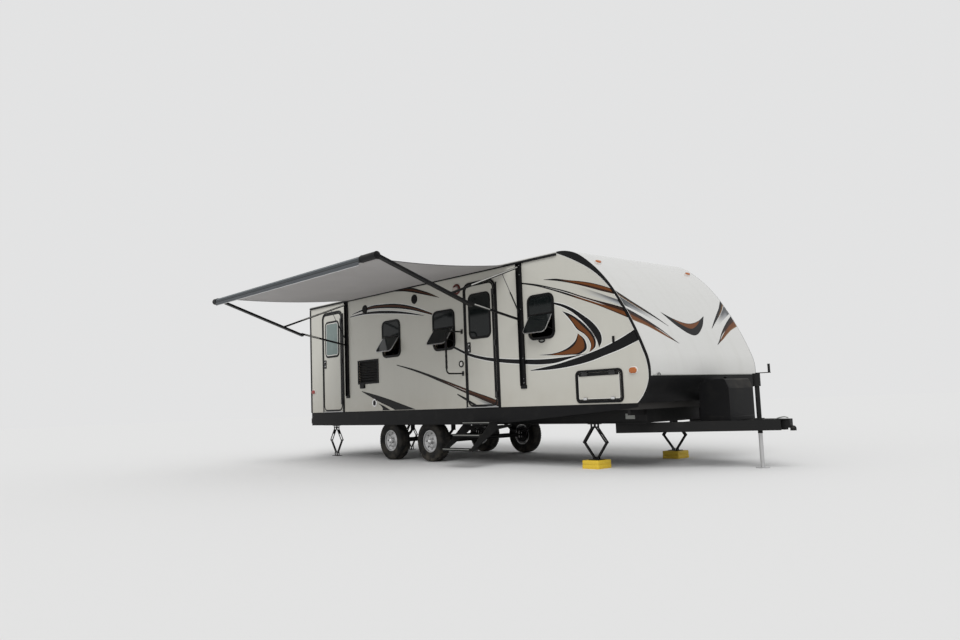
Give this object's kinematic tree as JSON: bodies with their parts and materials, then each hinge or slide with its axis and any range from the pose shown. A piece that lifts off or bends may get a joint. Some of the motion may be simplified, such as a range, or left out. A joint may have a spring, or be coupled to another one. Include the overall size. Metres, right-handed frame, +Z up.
{
  "type": "travel caravan",
  "caption": "Tandem axle travel caravan with a curved front cap, entry doors, a folding arm awning, entry steps, scissor jacks and a tongue jack.",
  "frame": {"origin": "centre of the tow ball's socket in the coupler, 0.48 m above the ground", "axes": "+X forward to the hitch, +Y to the street side, away from the doors and the awning, +Z up"},
  "size_m": [9.466, 5.0313, 3.199],
  "materials": {
    "siding": "satin laminate",
    "white_cap": "gloss",
    "white_frame": "satin",
    "roof_skin": "matte membrane",
    "floor_board": "matte",
    "black_trim": "satin",
    "black_plastic": "matte",
    "black_steel": "semi-gloss",
    "black_arms": "powder coat",
    "rim_paint": "gloss",
    "steel": "plated",
    "tinted_glass": "dark tint",
    "tyre": "matte",
    "awning_cloth": "woven",
    "yellow_plastic": "matte",
    "amber_lens": "clear lens"
  },
  "bodies": {
    "body": {"chassis_rails": "black_steel", "cross_members": "black_steel", "drawbar_frame": "black_steel", "coupler": "black_steel", "drawbar_covers": "black_plastic", "tongue_jack_tube": "black_steel", "front_cap": "white_cap", "rock_guard": "black_plastic", "curb_wall": "siding", "street_wall": "siding", "rear_wall": "siding", "roof": "roof_skin", "floor": "floor_board", "corner_trim": "black_trim", "side_skirts": "black_plastic", "rear_bumper": "black_steel", "window_frames": "black_trim", "window_panes": "tinted_glass", "door_frames": "black_trim", "wall_vents": "black_plastic", "axles": "black_steel", "jack_brackets": "black_steel", "leveling_blocks": "yellow_plastic", "awning_channels": "black_arms", "awning_fabric": "awning_cloth", "entry_steps": "black_steel", "assist_handle": "black_steel", "roof_units": "white_frame", "lamps": "amber_lens"},
    "front_door": {"front_door": "siding", "front_door_glass": "tinted_glass"},
    "rear_door": {"rear_door": "siding", "rear_door_glass": "tinted_glass"},
    "curb_baggage_door": {"curb_baggage_door": "siding"},
    "street_baggage_door": {"street_baggage_door": "siding"},
    "front_curb_wheel": {"front_curb_tyre": "tyre", "front_curb_rim": "rim_paint"},
    "front_street_wheel": {"front_street_tyre": "tyre", "front_street_rim": "rim_paint"},
    "rear_curb_wheel": {"rear_curb_tyre": "tyre", "rear_curb_rim": "rim_paint"},
    "rear_street_wheel": {"rear_street_tyre": "tyre", "rear_street_rim": "rim_paint"},
    "tongue_jack_leg": {"tongue_jack_leg": "steel"},
    "awning_lower_bars": {"awning_lower_bars": "black_arms"},
    "awning_outer_arms": {"awning_outer_arms": "black_arms"},
    "awning_upper_bars": {"awning_upper_bars": "black_arms"},
    "awning_roller": {"awning_roller": "awning_cloth"},
    "awning_strut_tubes": {"awning_strut_tubes": "black_steel"},
    "awning_strut_rods": {"awning_strut_rods": "steel"},
    "front_jacks_upper_rear_arms": {"front_jacks_upper_rear_arms": "black_steel"},
    "front_jacks_lower_rear_arms": {"front_jacks_lower_rear_arms": "black_steel"},
    "front_jacks_upper_front_arms": {"front_jacks_upper_front_arms": "black_steel"},
    "front_jacks_lower_front_arms": {"front_jacks_lower_front_arms": "black_steel"},
    "front_jacks_feet": {"front_jacks_feet": "black_steel"},
    "rear_jacks_upper_rear_arms": {"rear_jacks_upper_rear_arms": "black_steel"},
    "rear_jacks_lower_rear_arms": {"rear_jacks_lower_rear_arms": "black_steel"},
    "rear_jacks_upper_front_arms": {"rear_jacks_upper_front_arms": "black_steel"},
    "rear_jacks_lower_front_arms": {"rear_jacks_lower_front_arms": "black_steel"},
    "rear_jacks_feet": {"rear_jacks_feet": "black_steel"}
  },
  "joints": [
    {"name": "front_door_hinge", "type": "hinge", "parent": "body", "child": "front_door", "pos_m": [-3.85502, -1.24, 0.37], "axis": [0, 0, 1], "range_deg": [0, 110]},
    {"name": "rear_door_hinge", "type": "hinge", "parent": "body", "child": "rear_door", "pos_m": [-8.12102, -1.24, 0.37], "axis": [0, 0, 1], "range_deg": [0, 90]},
    {"name": "curb_baggage_hinge", "type": "hinge", "parent": "body", "child": "curb_baggage_door", "pos_m": [-1.9375, -1.24, 0.786], "axis": [-1, 0, 0], "range_deg": [0, 160]},
    {"name": "street_baggage_hinge", "type": "hinge", "parent": "body", "child": "street_baggage_door", "pos_m": [-1.9375, 1.24, 0.786], "axis": [1, 0, 0], "range_deg": [0, 160]},
    {"name": "front_curb_wheel_spin", "type": "hinge", "parent": "body", "child": "front_curb_wheel", "pos_m": [-5.63003, -1.05, -0.15], "axis": [0, 1, 0], "continuous": true},
    {"name": "front_street_wheel_spin", "type": "hinge", "parent": "body", "child": "front_street_wheel", "pos_m": [-5.63003, 1.05, -0.15], "axis": [0, 1, 0], "continuous": true},
    {"name": "rear_curb_wheel_spin", "type": "hinge", "parent": "body", "child": "rear_curb_wheel", "pos_m": [-6.73004, -1.05, -0.15], "axis": [0, 1, 0], "continuous": true},
    {"name": "rear_street_wheel_spin", "type": "hinge", "parent": "body", "child": "rear_street_wheel", "pos_m": [-6.73004, 1.05, -0.15], "axis": [0, 1, 0], "continuous": true},
    {"name": "tongue_jack_slide", "type": "slide", "parent": "body", "child": "tongue_jack_leg", "axis": [0, 0, 1], "range_m": [0, 0.35]},
    {"name": "awning_lower_bars_hinge", "type": "hinge", "parent": "body", "child": "awning_lower_bars", "pos_m": [-5.61876, -1.247, 1.605], "axis": [1, 0, 0], "range_deg": [0, 101.58], "deforming": ["awning_fabric"]},
    {"name": "awning_outer_arms_hinge", "type": "hinge", "parent": "awning_lower_bars", "child": "awning_outer_arms", "pos_m": [-5.61876, -2.15, 1.79], "axis": [1, 0, 0], "range_deg": [-172, 0]},
    {"name": "awning_upper_bars_hinge", "type": "hinge", "parent": "body", "child": "awning_upper_bars", "pos_m": [-5.61876, -1.247, 2.36], "axis": [1, 0, 0], "range_deg": [0, 70.05]},
    {"name": "awning_roller_hinge", "type": "hinge", "parent": "awning_outer_arms", "child": "awning_roller", "pos_m": [-5.61876, -3.73646, 2.28005], "axis": [1, 0, 0], "range_deg": [0, 70.42]},
    {"name": "awning_strut_hinge", "type": "hinge", "parent": "body", "child": "awning_strut_tubes", "pos_m": [-5.61876, -1.247, 1.71], "axis": [1, 0, 0], "range_deg": [-29.09, 0]},
    {"name": "awning_strut_slide", "type": "slide", "parent": "awning_strut_tubes", "child": "awning_strut_rods", "axis": [0, -0.4861, 0.8739], "range_m": [-0.28902, 0]},
    {"name": "front_jacks_lift", "type": "hinge", "parent": "body", "child": "front_jacks_upper_rear_arms", "pos_m": [-2.35, 0, 0.065], "axis": [0, 1, 0], "range_deg": [0, 47.01]},
    {"name": "front_jacks_upper_front", "type": "hinge", "parent": "body", "child": "front_jacks_upper_front_arms", "pos_m": [-2.286, 0, 0.065], "axis": [0, -1, 0], "range_deg": [0, 47.01]},
    {"name": "front_jacks_lower_rear", "type": "hinge", "parent": "front_jacks_upper_rear_arms", "child": "front_jacks_lower_rear_arms", "pos_m": [-2.51183, 0, -0.1385], "axis": [0, -1, 0], "range_deg": [0, 94.02]},
    {"name": "front_jacks_lower_front", "type": "hinge", "parent": "front_jacks_upper_front_arms", "child": "front_jacks_lower_front_arms", "pos_m": [-2.12417, 0, -0.1385], "axis": [0, 1, 0], "range_deg": [0, 94.02]},
    {"name": "front_jacks_foot", "type": "hinge", "parent": "front_jacks_lower_rear_arms", "child": "front_jacks_feet", "pos_m": [-2.35, 0, -0.342], "axis": [0, 1, 0], "range_deg": [0, 47.01]},
    {"name": "rear_jacks_lift", "type": "hinge", "parent": "body", "child": "rear_jacks_upper_rear_arms", "pos_m": [-8.932, 0, 0.065], "axis": [0, 1, 0], "range_deg": [0, 51.18]},
    {"name": "rear_jacks_upper_front", "type": "hinge", "parent": "body", "child": "rear_jacks_upper_front_arms", "pos_m": [-8.868, 0, 0.065], "axis": [0, -1, 0], "range_deg": [0, 51.18]},
    {"name": "rear_jacks_lower_rear", "type": "hinge", "parent": "rear_jacks_upper_rear_arms", "child": "rear_jacks_lower_rear_arms", "pos_m": [-9.09552, 0, -0.1745], "axis": [0, -1, 0], "range_deg": [0, 102.35]},
    {"name": "rear_jacks_lower_front", "type": "hinge", "parent": "rear_jacks_upper_front_arms", "child": "rear_jacks_lower_front_arms", "pos_m": [-8.70448, 0, -0.1745], "axis": [0, 1, 0], "range_deg": [0, 102.35]},
    {"name": "rear_jacks_foot", "type": "hinge", "parent": "rear_jacks_lower_rear_arms", "child": "rear_jacks_feet", "pos_m": [-8.932, 0, -0.414], "axis": [0, 1, 0], "range_deg": [0, 51.18]}
  ],
  "couplings": [
    {"joint": "awning_outer_arms_hinge", "follows": "awning_lower_bars_hinge", "ratio": -1.6932},
    {"joint": "awning_upper_bars_hinge", "follows": "awning_lower_bars_hinge", "ratio": 0.68959},
    {"joint": "awning_roller_hinge", "follows": "awning_lower_bars_hinge", "ratio": 0.69324},
    {"joint": "awning_strut_hinge", "follows": "awning_lower_bars_hinge", "ratio": -0.28631},
    {"joint": "awning_strut_slide", "follows": "awning_lower_bars_hinge", "m_per_rad": -0.16291},
    {"joint": "front_jacks_upper_front", "follows": "front_jacks_lift", "ratio": 1},
    {"joint": "front_jacks_lower_rear", "follows": "front_jacks_lift", "ratio": 2},
    {"joint": "front_jacks_lower_front", "follows": "front_jacks_lift", "ratio": 2},
    {"joint": "front_jacks_foot", "follows": "front_jacks_lift", "ratio": 1},
    {"joint": "rear_jacks_upper_front", "follows": "rear_jacks_lift", "ratio": 1},
    {"joint": "rear_jacks_lower_rear", "follows": "rear_jacks_lift", "ratio": 2},
    {"joint": "rear_jacks_lower_front", "follows": "rear_jacks_lift", "ratio": 2},
    {"joint": "rear_jacks_foot", "follows": "rear_jacks_lift", "ratio": 1}
  ]
}
